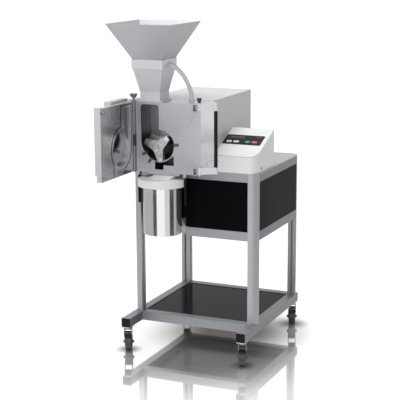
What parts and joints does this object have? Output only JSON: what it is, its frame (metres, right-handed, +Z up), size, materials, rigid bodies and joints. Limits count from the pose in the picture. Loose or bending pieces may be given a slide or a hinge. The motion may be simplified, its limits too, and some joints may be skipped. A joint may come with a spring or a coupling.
{
  "type": "laboratory cutting mill",
  "caption": "Floor-standing laboratory cutting mill on a castor frame, with hopper, hinged chamber door, three-bladed rotor, collecting vessel and control box.",
  "frame": {"origin": "on the floor, midway across the frame, midway between the foremost and rearmost points as the object stands with its door open", "axes": "+Z up, the operator stands at -Y, +X to the operator's right"},
  "size_m": [0.6195, 1.0304, 1.4789],
  "materials": {
    "frame_aluminium": "satin anodised",
    "black_plastic": "matte black",
    "pedal_black": "matte black",
    "zinc_steel": "zinc plated",
    "castor_rubber": "dark grey tread",
    "black_panel": "gloss black",
    "grey_paint": "light grey satin paint",
    "machined_aluminium": "fine machined",
    "bright_steel": "polished",
    "brown_plastic": "brown-grey",
    "cast_metal": "as cast, primed",
    "seal_rubber": "black",
    "hopper_steel": "satin",
    "hose_rubber": "light grey",
    "white_plastic": "white",
    "box_paint": "off-white satin",
    "membrane": "black film",
    "window": "smoked",
    "green_key": "green",
    "red_key": "red"
  },
  "bodies": {
    "machine": {"base_frame": "frame_aluminium", "legs": "frame_aluminium", "mid_rails": "frame_aluminium", "top_rails": "frame_aluminium", "end_caps": "black_plastic", "castor_plates": "zinc_steel", "shelf_panel": "black_panel", "front_panel": "black_panel", "side_panels": "black_panel", "table_top": "grey_paint", "motor_housing": "grey_paint", "chamber_block": "machined_aluminium", "outlet_flange": "machined_aluminium", "pivot_brackets": "machined_aluminium", "interlock_block": "machined_aluminium", "cutting_bars": "bright_steel", "hinge_post": "bright_steel", "shaft_bearings": "bright_steel", "motor_body": "cast_metal", "shaft_seal": "seal_rubber", "hopper": "hopper_steel", "hose_fittings": "hopper_steel", "feed_hose": "hose_rubber", "control_box": "box_paint", "keypad": "membrane", "circuit_board": "membrane", "display": "window"},
    "castor_front_left": {"castor_fork_front_left": "zinc_steel"},
    "wheel_front_left": {"castor_wheel_front_left": "castor_rubber"},
    "pedal_front_left": {"brake_pedal_front_left": "pedal_black"},
    "castor_front_right": {"castor_fork_front_right": "zinc_steel"},
    "wheel_front_right": {"castor_wheel_front_right": "castor_rubber"},
    "pedal_front_right": {"brake_pedal_front_right": "pedal_black"},
    "castor_rear_left": {"castor_fork_rear_left": "zinc_steel"},
    "wheel_rear_left": {"castor_wheel_rear_left": "castor_rubber"},
    "pedal_rear_left": {"brake_pedal_rear_left": "pedal_black"},
    "castor_rear_right": {"castor_fork_rear_right": "zinc_steel"},
    "wheel_rear_right": {"castor_wheel_rear_right": "castor_rubber"},
    "pedal_rear_right": {"brake_pedal_rear_right": "pedal_black"},
    "door": {"door_plate": "machined_aluminium", "door_cover": "machined_aluminium", "door_seal": "seal_rubber", "door_lugs": "bright_steel"},
    "clamp_lever": {"clamp_arms": "machined_aluminium", "clamp_grip": "black_plastic"},
    "rotor_shaft": {"rotor": "bright_steel", "rotor_screw": "bright_steel", "drive_shaft": "bright_steel", "flywheel": "cast_metal"},
    "sieve": {"sieve": "bright_steel"},
    "vessel": {"vessel": "bright_steel", "vessel_lid": "white_plastic"},
    "latch_left": {"vessel_latch_left": "black_plastic"},
    "latch_right": {"vessel_latch_right": "black_plastic"},
    "hinge_knob": {"hinge_knob": "brown_plastic"},
    "clamp_knob": {"clamp_knob": "black_plastic"},
    "menu_button": {"menu_button": "white_plastic"},
    "set_button": {"set_button": "white_plastic"},
    "start_button": {"start_button": "green_key"},
    "stop_button": {"stop_button": "red_key"}
  },
  "joints": [
    {"name": "castor_swivel_front_left", "type": "hinge", "parent": "machine", "child": "castor_front_left", "pos_m": [-0.278, -0.188, 0.1], "axis": [0, 0, 1], "continuous": true},
    {"name": "castor_roll_front_left", "type": "hinge", "parent": "castor_front_left", "child": "wheel_front_left", "pos_m": [-0.28624, -0.1676, 0.0375], "axis": [0.9272, 0.3746, 0], "continuous": true},
    {"name": "brake_press_front_left", "type": "hinge", "parent": "castor_front_left", "child": "pedal_front_left", "pos_m": [-0.2735, -0.19913, 0.092], "axis": [0.9272, 0.3746, 0], "range_deg": [0, 14]},
    {"name": "castor_swivel_front_right", "type": "hinge", "parent": "machine", "child": "castor_front_right", "pos_m": [0.278, -0.188, 0.1], "axis": [0, 0, 1], "continuous": true},
    {"name": "castor_roll_front_right", "type": "hinge", "parent": "castor_front_right", "child": "wheel_front_right", "pos_m": [0.26976, -0.1676, 0.0375], "axis": [0.9272, 0.3746, 0], "continuous": true},
    {"name": "brake_press_front_right", "type": "hinge", "parent": "castor_front_right", "child": "pedal_front_right", "pos_m": [0.28249, -0.19913, 0.092], "axis": [0.9272, 0.3746, 0], "range_deg": [0, 14]},
    {"name": "castor_swivel_rear_left", "type": "hinge", "parent": "machine", "child": "castor_rear_left", "pos_m": [-0.278, 0.457, 0.1], "axis": [0, 0, 1], "continuous": true},
    {"name": "castor_roll_rear_left", "type": "hinge", "parent": "castor_rear_left", "child": "wheel_rear_left", "pos_m": [-0.28624, 0.4774, 0.0375], "axis": [0.9272, 0.3746, 0], "continuous": true},
    {"name": "brake_press_rear_left", "type": "hinge", "parent": "castor_rear_left", "child": "pedal_rear_left", "pos_m": [-0.2735, 0.44587, 0.092], "axis": [0.9272, 0.3746, 0], "range_deg": [0, 14]},
    {"name": "castor_swivel_rear_right", "type": "hinge", "parent": "machine", "child": "castor_rear_right", "pos_m": [0.278, 0.457, 0.1], "axis": [0, 0, 1], "continuous": true},
    {"name": "castor_roll_rear_right", "type": "hinge", "parent": "castor_rear_right", "child": "wheel_rear_right", "pos_m": [0.26976, 0.4774, 0.0375], "axis": [0.9272, 0.3746, 0], "continuous": true},
    {"name": "brake_press_rear_right", "type": "hinge", "parent": "castor_rear_right", "child": "pedal_rear_right", "pos_m": [0.28249, 0.44587, 0.092], "axis": [0.9272, 0.3746, 0], "range_deg": [0, 14]},
    {"name": "door_hinge", "type": "hinge", "parent": "machine", "child": "door", "pos_m": [-0.2186, -0.212, 0.99], "axis": [0, 0, -1], "range_deg": [-90, 12]},
    {"name": "clamp_swing", "type": "hinge", "parent": "machine", "child": "clamp_lever", "pos_m": [0.092, -0.2153, 1], "axis": [0, 0, 1], "range_deg": [-118, 14]},
    {"name": "rotor_spin", "type": "hinge", "parent": "machine", "child": "rotor_shaft", "pos_m": [-0.0984, -0.081, 0.9552], "axis": [0, 1, 0], "continuous": true},
    {"name": "sieve_pull", "type": "slide", "parent": "machine", "child": "sieve", "axis": [0, -1, 0], "range_m": [0, 0.1]},
    {"name": "vessel_lower", "type": "slide", "parent": "machine", "child": "vessel", "axis": [0, 0, -1], "range_m": [0, 0.15]},
    {"name": "latch_left_swing", "type": "hinge", "parent": "machine", "child": "latch_left", "pos_m": [-0.2075, -0.191, 0.828], "axis": [0, 1, 0], "range_deg": [0, 60]},
    {"name": "latch_right_swing", "type": "hinge", "parent": "machine", "child": "latch_right", "pos_m": [0.0143, -0.191, 0.828], "axis": [0, -1, 0], "range_deg": [0, 60]},
    {"name": "hinge_knob_turn", "type": "hinge", "parent": "machine", "child": "hinge_knob", "pos_m": [-0.2186, -0.212, 1.17], "axis": [0, 0, 1], "range_deg": [0, 180]},
    {"name": "clamp_knob_turn", "type": "hinge", "parent": "machine", "child": "clamp_knob", "pos_m": [0.092, -0.2153, 1.165], "axis": [0, 0, 1], "range_deg": [0, 180]},
    {"name": "menu_button_press", "type": "slide", "parent": "machine", "child": "menu_button", "axis": [0, 0.3762, -0.9265], "range_m": [0, 0.001], "stiffness_N_per_m": 400, "springref_m": -0.0005},
    {"name": "set_button_press", "type": "slide", "parent": "machine", "child": "set_button", "axis": [0, 0.3762, -0.9265], "range_m": [0, 0.001], "stiffness_N_per_m": 400, "springref_m": -0.0005},
    {"name": "start_button_press", "type": "slide", "parent": "machine", "child": "start_button", "axis": [0, 0.3762, -0.9265], "range_m": [0, 0.001], "stiffness_N_per_m": 400, "springref_m": -0.0005},
    {"name": "stop_button_press", "type": "slide", "parent": "machine", "child": "stop_button", "axis": [0, 0.3762, -0.9265], "range_m": [0, 0.001], "stiffness_N_per_m": 400, "springref_m": -0.0005}
  ]
}
